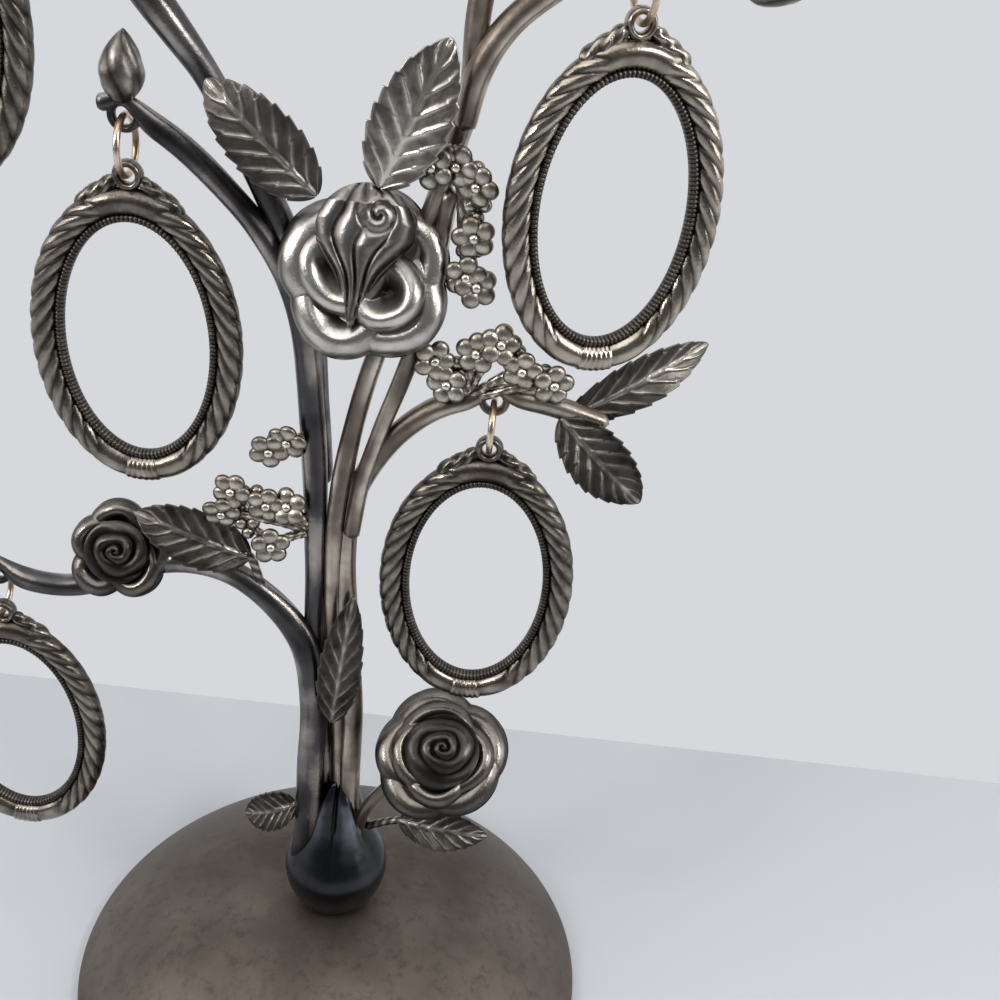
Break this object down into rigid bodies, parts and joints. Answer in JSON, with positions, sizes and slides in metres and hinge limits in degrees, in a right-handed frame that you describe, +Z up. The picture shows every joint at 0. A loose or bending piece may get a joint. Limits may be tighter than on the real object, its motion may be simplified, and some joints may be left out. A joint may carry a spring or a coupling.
{
  "type": "photo tree stand",
  "caption": "Cast metal tree on a round weighted base, with roses, leaves and flower sprays, whose branches carry small hanging oval picture frames.",
  "frame": {"origin": "centre of the base's underside", "axes": "+Z up along the trunk; the front of the tree faces -Y and its right-hand branches reach towards +X"},
  "size_m": [0.1605, 0.12, 0.3019],
  "materials": {
    "base_plate": "matt brown-grey tarnished silver plate with fine dark specks",
    "felt": "dark felt",
    "filling": "poured plaster",
    "fixing_steel": "plain zinc-plated steel",
    "bulb_metal": "glossy blue-black tarnished cast metal",
    "stem_metal": "tarnished silver plate, brown in the hollows and worn bright on the ridges",
    "leaf_metal": "dark pewter with bright veins",
    "bright_rose": "polished tarnished silver plate with dark recesses",
    "dark_rose": "dark grey pewter",
    "spray_silver": "pale worn silver plate with dark crevices",
    "frame_metal": "dark pewter, bright on the rope lobes",
    "bezel_metal": "dark pewter with fine ridges",
    "ring_brass": "pale worn brass wire"
  },
  "bodies": {
    "stand": {"base_felt": "felt", "base_filling": "filling", "base_screw": "fixing_steel", "base_shell": "base_plate", "base_washer": "fixing_steel", "bud_crown": "leaf_metal", "bud_far_left": "leaf_metal", "bud_far_right": "leaf_metal", "bud_left": "leaf_metal", "bud_top_left": "leaf_metal", "leaf_base_left": "leaf_metal", "leaf_base_right": "leaf_metal", "leaf_crown": "leaf_metal", "leaf_far_right": "leaf_metal", "leaf_lower_left": "leaf_metal", "leaf_right_long": "leaf_metal", "leaf_right_lower": "leaf_metal", "leaf_top_left": "leaf_metal", "leaf_trunk": "leaf_metal", "leaf_upper_left": "leaf_metal", "leaf_upper_right": "leaf_metal", "rose_centre_heart": "bright_rose", "rose_centre_middle_petals": "bright_rose", "rose_centre_outer_petals": "bright_rose", "rose_left_heart": "bright_rose", "rose_left_outer_petals": "bright_rose", "rose_lower_right_heart": "dark_rose", "rose_lower_right_middle_petals": "dark_rose", "rose_lower_right_outer_petals": "dark_rose", "spray_left_lower": "spray_silver", "spray_left_upper": "spray_silver", "spray_right_lower": "spray_silver", "spray_right_upper": "spray_silver", "stem_brace": "stem_metal", "stem_crown": "stem_metal", "stem_left": "stem_metal", "stem_lower_left": "stem_metal", "stem_lower_right": "stem_metal", "stem_rose": "stem_metal", "stem_upper_left": "stem_metal", "stem_upper_right": "stem_metal", "trunk_bulb": "bulb_metal"},
    "ring_lower_right": {"jump_ring_lower_right": "ring_brass"},
    "frame_lower_right": {"frame_rim_lower_right": "frame_metal", "frame_bezel_lower_right": "bezel_metal"},
    "ring_upper_right": {"jump_ring_upper_right": "ring_brass"},
    "frame_upper_right": {"frame_rim_upper_right": "frame_metal", "frame_bezel_upper_right": "bezel_metal"},
    "ring_middle_left": {"jump_ring_middle_left": "ring_brass"},
    "frame_middle_left": {"frame_rim_middle_left": "frame_metal", "frame_bezel_middle_left": "bezel_metal"},
    "ring_lower_left": {"jump_ring_lower_left": "ring_brass"},
    "frame_lower_left": {"frame_rim_lower_left": "frame_metal", "frame_bezel_lower_left": "bezel_metal"},
    "ring_top_left": {"jump_ring_top_left": "ring_brass"},
    "frame_top_left": {"frame_rim_top_left": "frame_metal", "frame_bezel_top_left": "bezel_metal"},
    "ring_top_centre": {"jump_ring_top_centre": "ring_brass"},
    "frame_top_centre": {"frame_rim_top_centre": "frame_metal", "frame_bezel_top_centre": "bezel_metal"}
  },
  "joints": [
    {"name": "ring_swing_lower_right", "type": "hinge", "parent": "stand", "child": "ring_lower_right", "pos_m": [0.02592, 0, 0.15771], "axis": [1, 0, 0], "range_deg": [-10, 10]},
    {"name": "frame_tilt_lower_right", "type": "hinge", "parent": "ring_lower_right", "child": "frame_lower_right", "pos_m": [0.02592, 0, 0.14771], "axis": [0, 1, 0], "range_deg": [-12, 4]},
    {"name": "ring_swing_upper_right", "type": "hinge", "parent": "stand", "child": "ring_upper_right", "pos_m": [0.0428, 0, 0.23527], "axis": [0.9511, 0.309, 0], "range_deg": [-10, 0]},
    {"name": "frame_tilt_upper_right", "type": "hinge", "parent": "ring_upper_right", "child": "frame_upper_right", "pos_m": [0.0428, 0, 0.22527], "axis": [-0.309, 0.9511, 0], "range_deg": [-6, 0]},
    {"name": "ring_swing_middle_left", "type": "hinge", "parent": "stand", "child": "ring_middle_left", "pos_m": [-0.04024, 0, 0.20231], "axis": [1, 0, 0], "range_deg": [-10, 10]},
    {"name": "frame_tilt_middle_left", "type": "hinge", "parent": "ring_middle_left", "child": "frame_middle_left", "pos_m": [-0.04024, 0, 0.19231], "axis": [0, 1, 0], "range_deg": [-8, 12]},
    {"name": "ring_swing_lower_left", "type": "hinge", "parent": "stand", "child": "ring_lower_left", "pos_m": [-0.072, 0, 0.1073], "axis": [1, 0, 0], "range_deg": [-10, 10]},
    {"name": "frame_tilt_lower_left", "type": "hinge", "parent": "ring_lower_left", "child": "frame_lower_left", "pos_m": [-0.072, 0, 0.0973], "axis": [0, 1, 0], "range_deg": [-12, 12]},
    {"name": "ring_swing_top_left", "type": "hinge", "parent": "stand", "child": "ring_top_left", "pos_m": [-0.074, 0, 0.25466], "axis": [1, 0, 0], "range_deg": [-10, 10]},
    {"name": "frame_tilt_top_left", "type": "hinge", "parent": "ring_top_left", "child": "frame_top_left", "pos_m": [-0.074, 0, 0.24466], "axis": [0, 1, 0], "range_deg": [-8, 12]},
    {"name": "ring_swing_top_centre", "type": "hinge", "parent": "stand", "child": "ring_top_centre", "pos_m": [-0.01, 0, 0.29898], "axis": [1, 0, 0], "range_deg": [-10, 10]},
    {"name": "frame_tilt_top_centre", "type": "hinge", "parent": "ring_top_centre", "child": "frame_top_centre", "pos_m": [-0.01, 0, 0.28898], "axis": [0, 1, 0], "range_deg": [-12, 12]}
  ]
}
